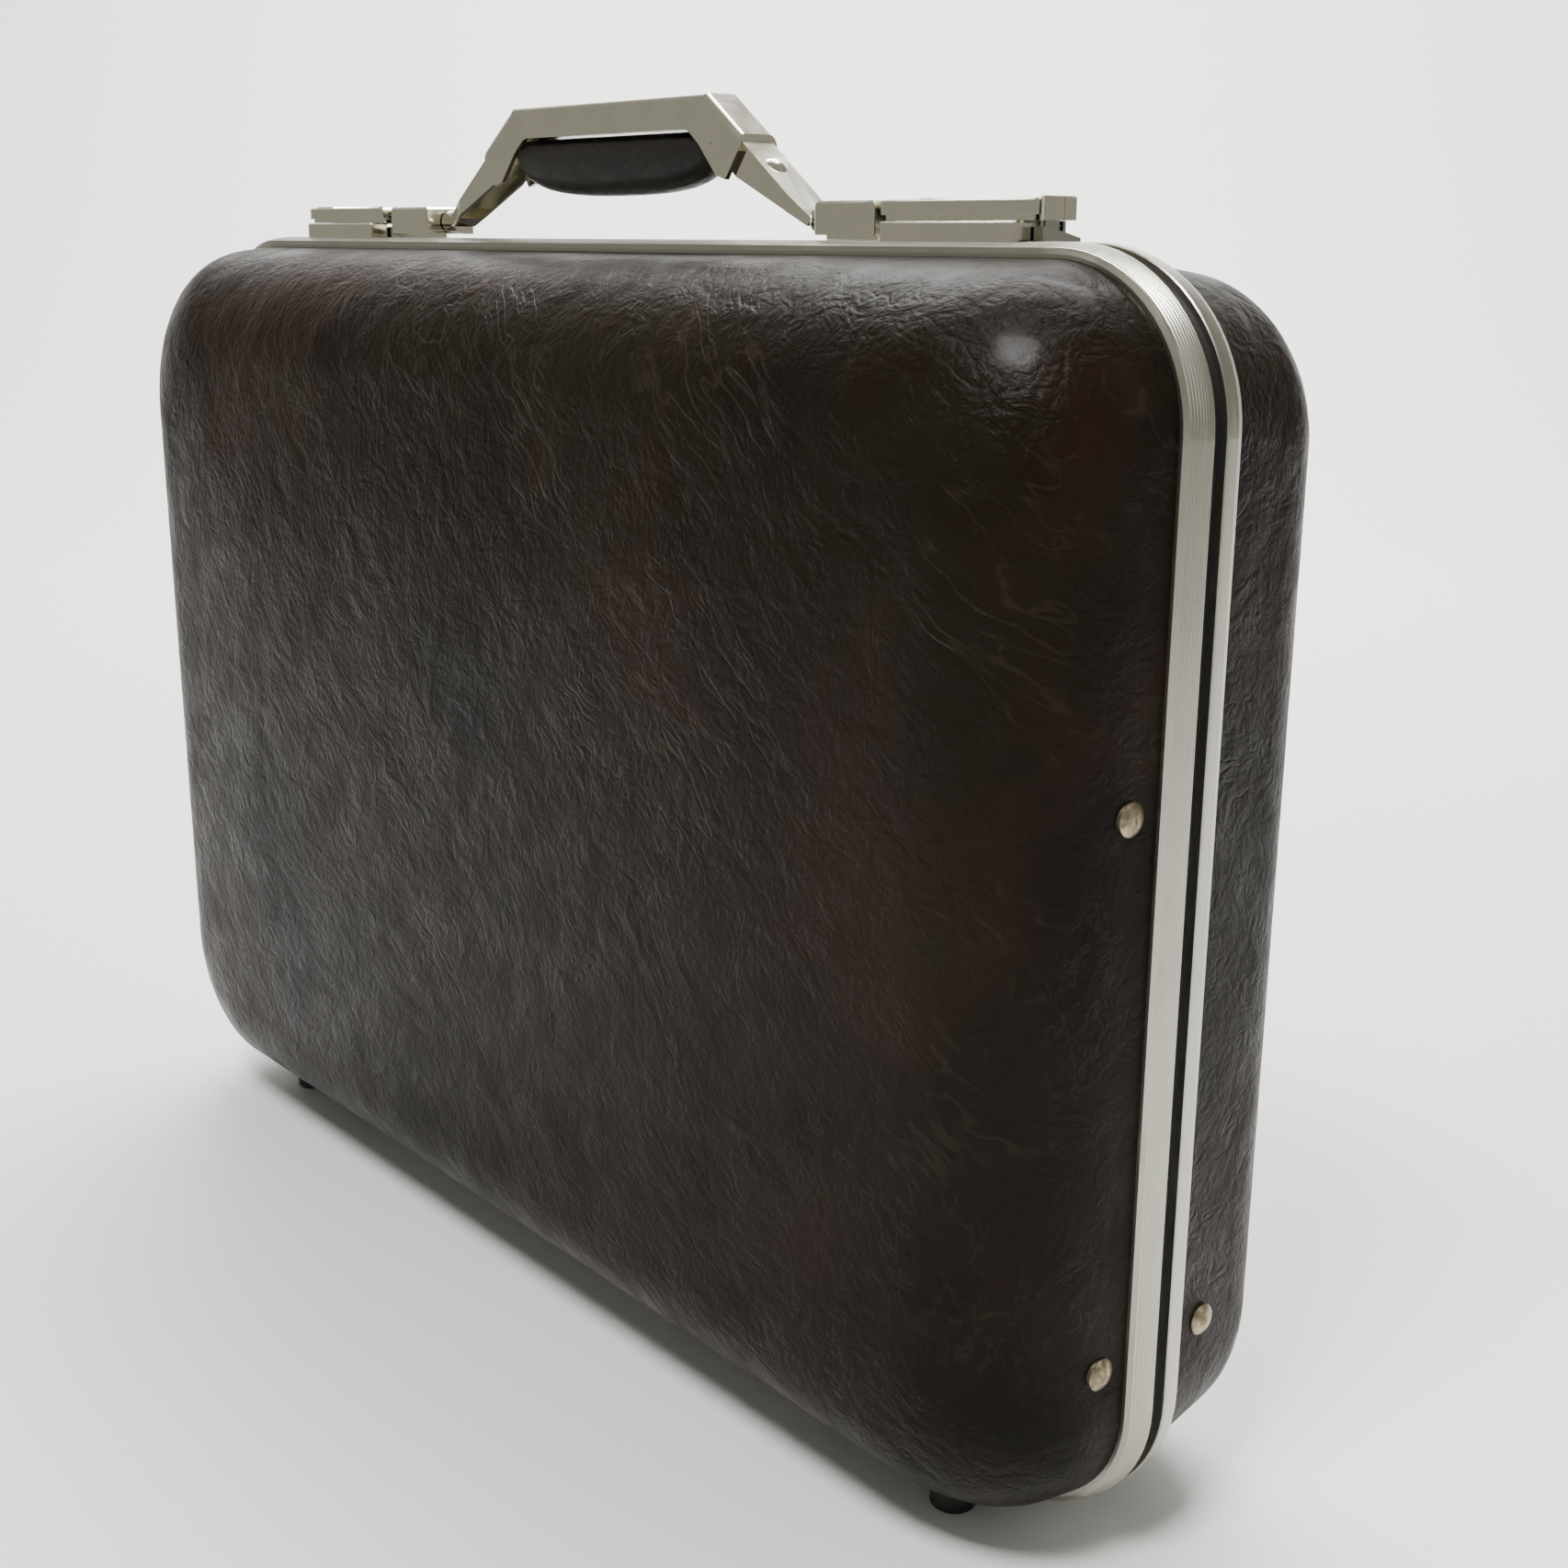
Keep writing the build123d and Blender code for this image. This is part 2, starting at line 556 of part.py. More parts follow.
def handle_arm(side):
    """Channel link from under the cover down to the pivot pin, narrowing to its foot."""
    foot, wide, narrow, outside = 92.2, ARM_W / 2, ARM_W / 2 - 1.5, ARM_W
    rivet_x, rivet_h = down_slope(RIVET_ALONG, ARM_TOP)
    with BuildPart() as arm:
        add(handle_slab([
            down_slope(5, ARM_TOP), down_slope(54.5, ARM_TOP), down_slope(54.5, ARM_TOP + 2.5),
            down_slope(46, 5.5), down_slope(24, 10.5), down_slope(8, 10.5)], ARM_W))
        add(handle_slab([
            down_slope(0, ARM_TOP + ARM_T), down_slope(50, ARM_TOP + ARM_T),
            down_slope(40, 20), down_slope(0, 20)], ARM_W - 2 * ARM_T), mode=Mode.SUBTRACT)
        for edge in (-1, 1):
            with BuildSketch(Plane.XY.offset(DECK)):
                with BuildLine():
                    Polyline((foot - 10, HANDLE_Y + edge * wide), (foot, HANDLE_Y + edge * narrow),
                             (foot + 6, HANDLE_Y + edge * narrow),
                             (foot + 6, HANDLE_Y + edge * outside),
                             (foot - 10, HANDLE_Y + edge * outside), close=True)
                make_face()
            extrude(amount=20, mode=Mode.SUBTRACT)
        add(turned_along_x(RIGHT, HANDLE_Y, DECK + PIVOT_H, [(89.5, POST_IN - 0.6, 3.6)]).part)
        with Locations(Location((PIN_IN + 10 - 0.3, HANDLE_Y, DECK + PIVOT_H), (0, 90, 0))):
            Cylinder(HANDLE_PIN_R + RUNNING, 20, mode=Mode.SUBTRACT)
        with Locations(Location((rivet_x, HANDLE_Y, DECK + rivet_h), (0, HANDLE_SLOPE, 0))):
            Cylinder(1.5, 8, mode=Mode.SUBTRACT)
        if side == LEFT:
            mirror(about=Plane.YZ, mode=Mode.REPLACE)
    return arm


with BuildPart() as handle_rivets:
    rivet_x, rivet_h = down_slope(RIVET_ALONG, ARM_TOP - 0.2)
    for side in (LEFT, RIGHT):
        tilt = (0, side * HANDLE_SLOPE, 0)
        with Locations(Location((side * rivet_x, HANDLE_Y, DECK + rivet_h), tilt)):
            add(rivet(3.2, 1.1, 0.2, 1.5, ARM_T + 0.8))


# ---------------------------------------------------------------- latches
def mirrored_x(side, x_from, x_to):
    """Middle and length along X of a piece between two distances from the mid plane."""
    return side * (x_from + x_to) / 2, x_to - x_from


def block(side, x_range, y_range, height_range, mode=Mode.ADD):
    """Box on one side of the case, its heights measured from the frames' crest."""
    x, length = mirrored_x(side, *x_range)
    middle = (x, sum(y_range) / 2, DECK + sum(height_range) / 2)
    with Locations(middle):
        Box(length, y_range[1] - y_range[0], height_range[1] - height_range[0], mode=mode)


def rod(side, x_range, y, height, radius, mode=Mode.ADD):
    """Cylinder along X on one side of the case."""
    x, length = mirrored_x(side, *x_range)
    with Locations(Location((x, y, DECK + height), (0, 90, 0))):
        Cylinder(radius, length, mode=mode)


def latch_base(side):
    """Wedge-shaped plate on the base's frame with two knuckles for the hasp's pin."""
    with BuildPart() as plate:
        x, length = mirrored_x(side, LATCH_IN + 1, LATCH_OUT - 0.4)
        with BuildSketch(section_at(x)):
            with BuildLine():
                Polyline((BASE_EDGE + 0.1, DECK), (HASP_BACK - 0.6, DECK),
                         (HASP_BACK - 0.6, DECK + 0.9), (6.5, DECK + 2.3), (2.0, DECK + 3.1),
                         (BASE_EDGE + 0.1, DECK + 3.4), close=True)
            make_face()
        extrude(amount=length / 2, both=True)
        for knuckle in KNUCKLES_BASE:
            block(side, knuckle, (HASP_PIN_Y - 1.8, HASP_PIN_Y + 1.8), (0.4, HASP_PIN_H))
            rod(side, knuckle, HASP_PIN_Y, HASP_PIN_H, 1.9)
        for rail_y in (1.5, 9.5):
            block(side, (SLIDE_IN + 2, LATCH_OUT - 3), (rail_y - 0.5, rail_y + 0.5), (1.0, SLIDE_LOW - 0.05))
        block(side, SPRING_POST, (3.0, 8.0), (1.0, 7.3))
        block(side, (TONGUE[0] - 1, TONGUE[1] + 1), (BASE_EDGE, 2.4), (-1, 5), Mode.SUBTRACT)
        rod(side, (LATCH_IN, SLIDE_IN), HASP_PIN_Y, HASP_PIN_H, HASP_PIN_R, Mode.SUBTRACT)
        for x in LATCH_RIVET_X:
            with Locations((side * x, LATCH_RIVET_Y, DECK)):
                Cylinder(LATCH_RIVET_R, 12, mode=Mode.SUBTRACT)
        add(base_frame.part, mode=Mode.SUBTRACT)
    return plate


def hasp(side):
    """Sprung cover plate with its front lip, its tongue and the knuckles round its pin."""
    with BuildPart() as plate:
        block(side, (LATCH_IN, SLIDE_IN - 0.7), (HASP_FRONT, HASP_BACK), (8.4, 9.9))
        block(side, (LATCH_IN, LATCH_OUT), (HASP_FRONT, HASP_FRONT + 1.8), (6.2, 9.9))
        block(side, (LATCH_IN + 1, LATCH_OUT - 1), (HASP_FRONT + 0.8, HASP_FRONT + 1.8), (4.85, 6.3))
        top = plate.faces().sort_by(Axis.Z)[-1]
        chamfer(top.edges(), 0.4)
        block(side, TONGUE, (-0.3, 1.2), (1.0, 8.6))
        block(side, (TONGUE[0] + 4, TONGUE[1] - 4), (-1, 2), (3.2, 6.0), Mode.SUBTRACT)
        for knuckle in KNUCKLES_HASP:
            block(side, knuckle, (HASP_PIN_Y - 1.4, HASP_PIN_Y + 1.4), (HASP_PIN_H, 8.6))
            rod(side, knuckle, HASP_PIN_Y, HASP_PIN_H, 1.9)
        rod(side, (LATCH_IN, SLIDE_IN), HASP_PIN_Y, HASP_PIN_H, HASP_PIN_R + RUNNING, Mode.SUBTRACT)
        with Locations((side * LOCK_X, LOCK_Y, DECK + 9)):
            Cylinder(LOCK_R + RUNNING, 6, mode=Mode.SUBTRACT)
    return plate


def thumb_slide(side):
    """Release button with a scooped end, its spring pocket and the bolt beside the tongue."""
    with BuildPart() as button:
        block(side, (SLIDE_IN, LATCH_OUT), (HASP_FRONT + 2.4, HASP_BACK), (SLIDE_LOW, 10.5))
        outer = button.edges().filter_by(Axis.Z).sort_by(Axis.Y)[-2:]
        chamfer(outer.sort_by(Axis.X)[-1 if side == RIGHT else 0], 3.0)
        chamfer(button.faces().sort_by(Axis.Z)[-1].edges(), 0.5)
        with Locations((side * (LATCH_OUT + SCOOP_R - 1.2), 3.2, DECK + 7)):
            Cylinder(SCOOP_R, 12, mode=Mode.SUBTRACT)
        for groove in range(4):
            x = SLIDE_IN + 2.5 + groove * 2.2
            block(side, (x, x + 0.7), (0.5, 10.5), (10.1, 11), Mode.SUBTRACT)
        for groove in range(9):
            with Locations((side * (LATCH_OUT - 0.9), -1.2 + groove * 1.1, DECK + 7)):
                Cylinder(0.38, 12, mode=Mode.SUBTRACT)
        block(side, (SLIDE_IN + 1.5, LATCH_OUT - 2.6), (2.0, 9.0), (4.0, 8.6), Mode.SUBTRACT)
        block(side, (TONGUE[1] + 1.3, SLIDE_IN + 0.2), (-0.4, 1.3), (SLIDE_LOW, 6.4))
    return button


def slide_spring(side):
    """Compression spring between the latch base's post and the button's inner wall."""
    coils = spring_coils(1.7, 0.4, 7, SLIDE_IN + 1.6)
    with BuildPart() as spring:
        with Locations((0, 5.5, DECK + 6.2)):
            add(coils)
        if side == LEFT:
            mirror(about=Plane.YZ, mode=Mode.REPLACE)
    return spring


def lock_cylinder(side):
    """Key cylinder turning in the hasp's plate."""
    with BuildPart() as lock:
        with Locations((side * LOCK_X, LOCK_Y, DECK + 8.8)):
            Cylinder(LOCK_R, 3.0)
        chamfer(lock.faces().sort_by(Axis.Z)[-1].edges(), 0.3)
        with Locations((side * LOCK_X, LOCK_Y, DECK + 10.0)):
            Box(3.8, 0.8, 2.0, mode=Mode.SUBTRACT)
    return lock


def keeper(side):
    """Catch bar on the lid's frame, with the recess that the hasp's tongue stands in."""
    with BuildPart() as bar:
        block(side, (KEEPER_IN, KEEPER_OUT), (KEEPER_FRONT, KEEPER_BACK), (0.3, 4.7))
        block(side, (KEEPER_IN, KEEPER_OUT), (KEEPER_FRONT, LID_EDGE - 0.1), (-1.5, 0.5))
        chamfer(bar.faces().sort_by(Axis.Z)[-1].edges(), 0.4)
        block(side, (TONGUE[0] - 1, TONGUE[1] + 1), (-3.4, KEEPER_BACK), (1.2, 3.4), Mode.SUBTRACT)
        add(lid_frame.part, mode=Mode.SUBTRACT)
    return bar


with BuildPart() as hasp_pins:
    for side in (LEFT, RIGHT):
        rod(side, (KNUCKLES_BASE[0][0], KNUCKLES_BASE[1][1]), HASP_PIN_Y, HASP_PIN_H, HASP_PIN_R)

with BuildPart() as hasp_springs:
    coil = spring_coils(1.5, 0.35, 11, KNUCKLES_HASP[0][1] + 0.4)
    with Locations((0, HASP_PIN_Y, DECK + HASP_PIN_H)):
        add(coil)
    mirror(about=Plane.YZ)

with BuildPart() as latch_rivets:
    for side in (LEFT, RIGHT):
        for x in LATCH_RIVET_X:
            with Locations((side * x, LATCH_RIVET_Y, DECK + 3.0)):
                add(rivet(2.1, 0.7, 1.5, LATCH_RIVET_R, 5.0))
        add(latch_base(side).part, mode=Mode.SUBTRACT)


# ---------------------------------------------------------------- lid organiser
ORGANISER_Y = -50.6  # front face of the board that the pockets are sewn to
FILE_POCKET = (376, 10, 150)
CARD_POCKET = (104, 2.6, 64)
PEN_LOOP, PEN_R, PEN_PITCH = (14, 8.6, 22), 3.5, 24
LEATHER_T = 1.5

with BuildPart() as organiser_panel:
    with BuildSketch(facing(LID, ORGANISER_Y)):
        RectangleRounded(396, 252, 28)
    extrude(amount=LEATHER_T)


file_front = ORGANISER_Y + FILE_POCKET[1]
with BuildPart() as file_pocket:
    with Locations((0, file_front - FILE_POCKET[1] / 2, FOOT_H + 107)):
        Box(*FILE_POCKET)
        with Locations((0, -LEATHER_T, LEATHER_T)):
            Box(FILE_POCKET[0] - 2 * LEATHER_T, *FILE_POCKET[1:], mode=Mode.SUBTRACT)

with BuildPart() as card_pocket:
    with Locations((110, file_front + CARD_POCKET[1] / 2, FOOT_H + 135)):
        Box(*CARD_POCKET)
        with Locations((0, 0, LEATHER_T)):
            Box(CARD_POCKET[0] - 2 * LEATHER_T, 1.2, CARD_POCKET[2], mode=Mode.SUBTRACT)

with BuildPart() as pen_loops:
    for index in range(3):
        with Locations((-150 + PEN_PITCH * index, file_front + PEN_LOOP[1] / 2, FOOT_H + 140)):
            Box(*PEN_LOOP)
            Cylinder(PEN_R, 30, mode=Mode.SUBTRACT)
    fillet(pen_loops.edges().filter_by(Axis.Z).group_by(Axis.Y)[-1], 2.5)


# ---------------------------------------------------------------- write the pieces
save(lid_shell.part, "lid_shell")
save(base_shell.part, "base_shell")
save(lid_frame.part, "lid_frame")
save(base_frame.part, "base_frame")
save(parting_seal.part, "parting_seal")
save(lid_lining.part, "lid_lining")
save(base_lining.part, "base_lining")
save(track_rivets.part, "track_rivets")
save(pivot_rivets.part, "pivot_rivets")
save(lid_hinge_leaves.part, "lid_hinge_leaves")
save(base_hinge_leaves.part, "base_hinge_leaves")
save(hinge_pins.part, "hinge_pins")
save(lid_hinge_rivets.part, "lid_hinge_rivets")
save(base_hinge_rivets.part, "base_hinge_rivets")
save(lid_feet.part, "lid_feet")
save(base_feet.part, "base_feet")
save(handle_pins.part, "handle_pins")
save(handle_cover.part, "handle_cover")
save(handle_core.part, "handle_core")
save(handle_grip.part, "handle_grip")
save(handle_rivets.part, "handle_rivets")
save(hasp_pins.part, "hasp_pins")
save(hasp_springs.part, "hasp_springs")
save(latch_rivets.part, "latch_rivets")
save(organiser_panel.part, "organiser_panel")
save(file_pocket.part, "file_pocket")
save(card_pocket.part, "card_pocket")
save(pen_loops.part, "pen_loops")
for side, word in ((LEFT, "left"), (RIGHT, "right")):
    save(stay_track(side).part, f"stay_track_{word}")
    save(stay_arm(side).part, f"stay_arm_{word}")
    save(stay_slider(side).part, f"stay_slider_{word}")
    save(handle_post(side).part, f"handle_post_{word}")
    save(handle_arm(side).part, f"handle_arm_{word}")
    save(latch_base(side).part, f"latch_base_{word}")
    save(hasp(side).part, f"hasp_{word}")
    save(thumb_slide(side).part, f"thumb_slide_{word}")
    save(slide_spring(side).part, f"slide_spring_{word}")
    save(lock_cylinder(side).part, f"lock_cylinder_{word}")
    save(keeper(side).part, f"keeper_{word}")
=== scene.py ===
"""Looks of the attache case: its materials, the soft pieces and coils that replace plain CAD solids,
the studio and the camera. Lengths are in metres."""

import json
from math import copysign, cos, hypot, pi, radians, sin

import bmesh
import bpy
from mathutils import Matrix, Vector


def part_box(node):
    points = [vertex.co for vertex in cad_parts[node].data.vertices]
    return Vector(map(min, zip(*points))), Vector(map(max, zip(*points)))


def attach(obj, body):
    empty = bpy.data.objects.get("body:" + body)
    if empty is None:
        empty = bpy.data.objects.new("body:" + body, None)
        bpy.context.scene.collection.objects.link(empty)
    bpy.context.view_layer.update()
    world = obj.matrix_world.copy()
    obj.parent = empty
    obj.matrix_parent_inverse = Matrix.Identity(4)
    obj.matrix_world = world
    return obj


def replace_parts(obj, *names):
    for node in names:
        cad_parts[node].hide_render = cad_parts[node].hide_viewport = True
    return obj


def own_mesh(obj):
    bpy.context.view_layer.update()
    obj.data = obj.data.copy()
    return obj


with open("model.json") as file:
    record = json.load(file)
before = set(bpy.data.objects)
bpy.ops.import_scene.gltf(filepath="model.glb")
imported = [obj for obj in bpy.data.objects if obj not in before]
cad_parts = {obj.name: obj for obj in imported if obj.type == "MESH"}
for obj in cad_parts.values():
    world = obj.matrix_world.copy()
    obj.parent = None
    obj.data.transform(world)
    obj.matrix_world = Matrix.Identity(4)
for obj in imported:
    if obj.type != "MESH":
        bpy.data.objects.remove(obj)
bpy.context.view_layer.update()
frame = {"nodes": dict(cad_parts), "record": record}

MM = 0.001


# ---------------------------------------------------------------- shader building
class Shader:
    """One node material being built: a Principled shader and short calls that add nodes to it."""

    def __init__(self, name, **sockets):
        self.material = bpy.data.materials.new(name)
        self.material.use_nodes = True
        self.tree = self.material.node_tree
        self.principled = self.tree.nodes["Principled BSDF"]
        self.coords = self.tree.nodes.new("ShaderNodeTexCoord").outputs["Object"]
        for socket, value in sockets.items():
            self.principled.inputs[socket.replace("_", " ")].default_value = value

    def set(self, socket, value):
        """Link an output to a socket of the Principled shader, or give the socket a value."""
        self.feed(self.principled.inputs[socket], value)

    def feed(self, target, value):
        """Link an output to any node's input, or give the input a value."""
        if isinstance(value, bpy.types.NodeSocket):
            self.tree.links.new(value, target)
        else:
            target.default_value = value

    def mapped(self, scale=(1, 1, 1), turn=(0, 0, 0), source=None):
        """Object coordinates turned, then scaled, so that a pattern can run in a direction."""
        turned = self.tree.nodes.new("ShaderNodeMapping")
        turned.inputs["Rotation"].default_value = turn
        self.feed(turned.inputs["Vector"], source or self.coords)
        stretched = self.tree.nodes.new("ShaderNodeMapping")
        stretched.inputs["Scale"].default_value = scale
        self.feed(stretched.inputs["Vector"], turned.outputs["Vector"])
        return stretched.outputs["Vector"]

    def noise(self, scale, detail=2.0, rough=0.5, vector=None, distortion=0.0, colour=False):
        made = self.tree.nodes.new("ShaderNodeTexNoise")
        made.inputs["Scale"].default_value = scale
        made.inputs["Detail"].default_value = detail
        made.inputs["Roughness"].default_value = rough
        made.inputs["Distortion"].default_value = distortion
        self.feed(made.inputs["Vector"], vector or self.coords)
        return made.outputs["Color" if colour else "Fac"]

    def cells(self, scale, vector=None):
        """Distance from the nearest edge between cells."""
        made = self.tree.nodes.new("ShaderNodeTexVoronoi")
        made.feature = "DISTANCE_TO_EDGE"
        made.inputs["Scale"].default_value = scale
        self.feed(made.inputs["Vector"], vector or self.coords)
        return made.outputs["Distance"]

    def warped(self, vector, scale, amount):
        """A vector pushed about by noise of a given scale, by up to an amount in metres."""
        push = self.vector_math("SUBTRACT", self.noise(scale, 2, colour=True), (0.5, 0.5, 0.5))
        return self.vector_math("ADD", vector, self.vector_math("MULTIPLY", push, (amount,) * 3))

    def vector_math(self, operation, first, second):
        made = self.tree.nodes.new("ShaderNodeVectorMath")
        made.operation = operation
        self.feed(made.inputs[0], first)
        self.feed(made.inputs[1], second)
        return made.outputs[0]

    def math(self, operation, first, second=0.5):
        made = self.tree.nodes.new("ShaderNodeMath")
        made.operation = operation
        self.feed(made.inputs[0], first)
        self.feed(made.inputs[1], second)
        return made.outputs[0]

    def off_middle(self, pattern):
        """How far a noise pattern is from its middle value, which is 0 along winding lines."""
        return self.math("ABSOLUTE", self.math("SUBTRACT", pattern, 0.5))

    def ranged(self, value, low, high, to_low=0.0, to_high=1.0):
        """A value eased from one range of numbers to another."""
        made = self.tree.nodes.new("ShaderNodeMapRange")
        made.interpolation_type = "SMOOTHSTEP"
        for index, number in enumerate((low, high, to_low, to_high), start=1):
            made.inputs[index].default_value = number
        self.feed(made.inputs[0], value)
        return made.outputs[0]

    def blend(self, amount, first, second):
        """Mix two colours, each an output or (r, g, b)."""
        made = self.tree.nodes.new("ShaderNodeMix")
        made.data_type = "RGBA"
        self.feed(made.inputs["Factor"], amount)
        for socket, colour in ((made.inputs[6], first), (made.inputs[7], second)):
            is_output = isinstance(colour, bpy.types.NodeSocket)
            self.feed(socket, colour if is_output else (*colour, 1))
        return made.outputs[2]

    def bump(self, height, depth):
        """Relief of a given depth for a height that runs from 0 to 1."""
        made = self.tree.nodes.new("ShaderNodeBump")
        made.inputs["Distance"].default_value = depth
        self.feed(made.inputs["Height"], height)
        self.set("Normal", made.outputs["Normal"])


def darker(colour, share):
    return tuple(part * share for part in colour)


# ---------------------------------------------------------------- materials
def grained_vinyl():
    """Dark brown moulded covering. Its folds and wrinkles run down to the right across the lid's
    panel, creases cross them here and there, and red, olive and near-black patches mottle it."""
    made = Shader("grained_vinyl", Coat_Weight=0.045, Coat_Roughness=0.16, Specular_IOR_Level=0.05)
    bent = made.warped(made.coords, 7, 0.06)
    warp = made.warped(bent, 38, 0.012)
    long_way = made.mapped((30, 60, 135), (0, radians(-43), 0), warp)
    folds = made.noise(1.0, 4, 0.58, long_way, distortion=0.3)
    line = made.off_middle(made.noise(1.0, 2, 0.5, long_way))
    where = made.ranged(made.noise(20, 3, 0.6, made.mapped((1, 1, 1), (0.7, 0, 0.3))), 0.50, 0.62)
    wrinkles = made.math("MULTIPLY", made.ranged(line, 0.035, 0.0), where)
    cross_way = made.mapped((120, 90, 42), (0, radians(24), 0), warp)
    cross = made.off_middle(made.noise(1.0, 3, 0.6, cross_way))
    elsewhere = made.ranged(made.noise(15, 3, 0.6, made.mapped((1, 1, 1), (0, 0.9, 0.5))), 0.52, 0.64)
    creases = made.math("MULTIPLY", made.ranged(cross, 0.022, 0.0), elsewhere)
    pebbles = made.ranged(made.cells(300, made.warped(made.coords, 130, 0.005)), 0.0, 0.35)
    crumple = made.noise(95, 5, 0.62, warp, distortion=0.7)
    swell = made.noise(30, 3, 0.5, warp)
    height = made.math("MULTIPLY", folds, 0.80)
    for relief, share in ((crumple, 1.35), (swell, 0.7), (wrinkles, -0.22), (creases, -0.16),
                          (pebbles, 0.10), (made.noise(1300, 2, 0.6), 0.045)):
        height = made.math("ADD", height, made.math("MULTIPLY", relief, share))
    made.bump(height, 0.9 * MM)
    patch = made.noise(10, 3, 0.6, bent)
    tone = made.blend(made.ranged(patch, 0.46, 0.62), (0.0080, 0.0052, 0.0030), (0.0125, 0.0060, 0.0033))
    green = made.ranged(made.noise(12, 3, 0.55, made.mapped((1, 1, 1), (0.4, 0.2, 0.9))), 0.47, 0.64)
    tone = made.blend(made.math("MULTIPLY", green, 0.8), tone, (0.0084, 0.0068, 0.0036))
    dark = made.ranged(made.noise(14, 4, 0.6, made.mapped((1, 1, 1.4), (1.1, 0.5, 0))), 0.48, 0.66)
    tone = made.blend(made.math("MULTIPLY", dark, 0.75), tone, (0.0040, 0.0030, 0.0024))
    worn = made.math("MAXIMUM", wrinkles, creases)
    tone = made.blend(made.math("MULTIPLY", worn, 0.16), tone, (0.050, 0.038, 0.026))
    made.set("Base Color", tone)
    made.set("Roughness", made.ranged(made.noise(60, 3, 0.6), 0.3, 0.7, 0.34, 0.50))
    return made.material


def aluminium(colour):
    """Satin aluminium with brushed lines that run along the frame, and light scuffs."""
    made = Shader("frame_aluminium", Metallic=1.0)
    lines = made.noise(1.0, 3, 0.7, made.mapped((10, 2600, 10)))
    scuffs = made.ranged(made.noise(140, 4, 0.7, made.mapped((0.25, 3, 0.25))), 0.56, 0.72)
    grime = made.ranged(made.noise(22, 4, 0.65), 0.45, 0.75)
    tone = made.blend(made.math("MULTIPLY", lines, 0.5), colour, darker(colour, 0.78))
    tone = made.blend(made.math("MULTIPLY", grime, 0.35), tone, darker(colour, 0.62))
    made.set("Base Color", tone)
    made.set("Roughness", made.math("ADD", made.math("MULTIPLY", scuffs, 0.12), 0.30))
    made.bump(made.math("ADD", lines, made.math("MULTIPLY", scuffs, 0.3)), 0.03 * MM)
    return made.material


def plating(name, colour, rough):
    """Plated metal with smudges, hairline scratches and dulled patches."""
    made = Shader(name, Metallic=1.0)
    smudge = made.noise(55, 4, 0.6, distortion=0.8)
    scratches = made.noise(1.0, 2, 0.7, made.mapped((160, 3800, 2600), (0.1, 0.3, 0.5)))
    pits = made.ranged(made.noise(700, 2, 0.5), 0.68, 0.80)
    tone = made.blend(made.ranged(smudge, 0.35, 0.75, 0.0, 0.45), colour, darker(colour, 0.72))
    made.set("Base Color", made.blend(made.math("MULTIPLY", pits, 0.6), tone, (0.20, 0.19, 0.16)))
    made.set("Roughness", made.ranged(smudge, 0.3, 0.75, rough, rough + 0.13))
    made.bump(made.math("ADD", scratches, made.math("MULTIPLY", pits, -0.8)), 0.012 * MM)
    return made.material


def aged_brass():
    """Dulled nickel-brass of the side rivets."""
    made = Shader("aged_brass", Metallic=1.0)
    stain = made.noise(420, 4, 0.65)
    bright, dull = (0.36, 0.30, 0.20), (0.17, 0.14, 0.09)
    made.set("Base Color", made.blend(made.ranged(stain, 0.35, 0.65), bright, dull))
    made.set("Roughness", made.ranged(stain, 0.3, 0.7, 0.30, 0.50))
    made.bump(stain, 0.05 * MM)
    return made.material


def leather(name, colour, worn, grain_scale):
    """Smooth-wrapped leather with a fine cell grain and rubbed high spots."""
    made = Shader(name, Specular_IOR_Level=0.28)
    grain = made.ranged(made.cells(grain_scale, made.warped(made.coords, 380, 0.0016)), 0.0, 0.3)
    wrinkle = made.noise(150, 4, 0.6, made.mapped((1, 1, 2.4)), distortion=0.7)
    height = made.math("ADD", made.math("MULTIPLY", grain, 0.5), wrinkle)
    tone = made.blend(made.ranged(wrinkle, 0.50, 0.75, 0.0, 0.7), colour, worn)
    # The grain's valleys are darkened in the colour: painted shade in the recesses of the grain.
    painted_grain_shade = made.ranged(grain, 0.25, 0.0, 0.0, 0.5)
    made.set("Base Color", made.blend(painted_grain_shade, tone, darker(colour, 0.4)))
    made.set("Roughness", made.ranged(wrinkle, 0.3, 0.7, 0.48, 0.34))
    made.bump(height, 0.12 * MM)
    return made.material


def suede():
    """Tan lining with a soft nap."""
    made = Shader("lining_cloth", Roughness=0.92, Sheen_Weight=0.35, Sheen_Roughness=0.5)
    nap = made.noise(1900, 3, 0.7)
    stroke = made.noise(26, 4, 0.6, distortion=1.1)
    tone = made.blend(made.ranged(stroke, 0.35, 0.65), (0.30, 0.215, 0.14), (0.235, 0.165, 0.105))
    made.set("Base Color", made.blend(made.math("MULTIPLY", nap, 0.5), tone, (0.17, 0.115, 0.07)))
    made.bump(nap, 0.25 * MM)
    return made.material


def rubber(name, colour):
    """Matt rubber with a moulded skin and dust."""
    made = Shader(name, Specular_IOR_Level=0.3)
    skin = made.noise(1100, 3, 0.6)
    dust = made.ranged(made.noise(60, 4, 0.7), 0.5, 0.75)
    made.set("Base Color", made.blend(made.math("MULTIPLY", dust, 0.4), colour, (0.06, 0.057, 0.052)))
    made.set("Roughness", made.ranged(dust, 0.0, 1.0, 0.5, 0.8))
    made.bump(skin, 0.05 * MM)
    return made.material


def thread():
    """Waxed stitching thread."""
    made = Shader("thread", Roughness=0.6)
    twist = made.noise(1.0, 1, 0.5, made.mapped((2600, 2600, 900), (0, 0.7, 0)))
    made.set("Base Color", made.blend(twist, (0.36, 0.24, 0.13), (0.19, 0.12, 0.06)))
    made.bump(twist, 0.1 * MM)
    return made.material


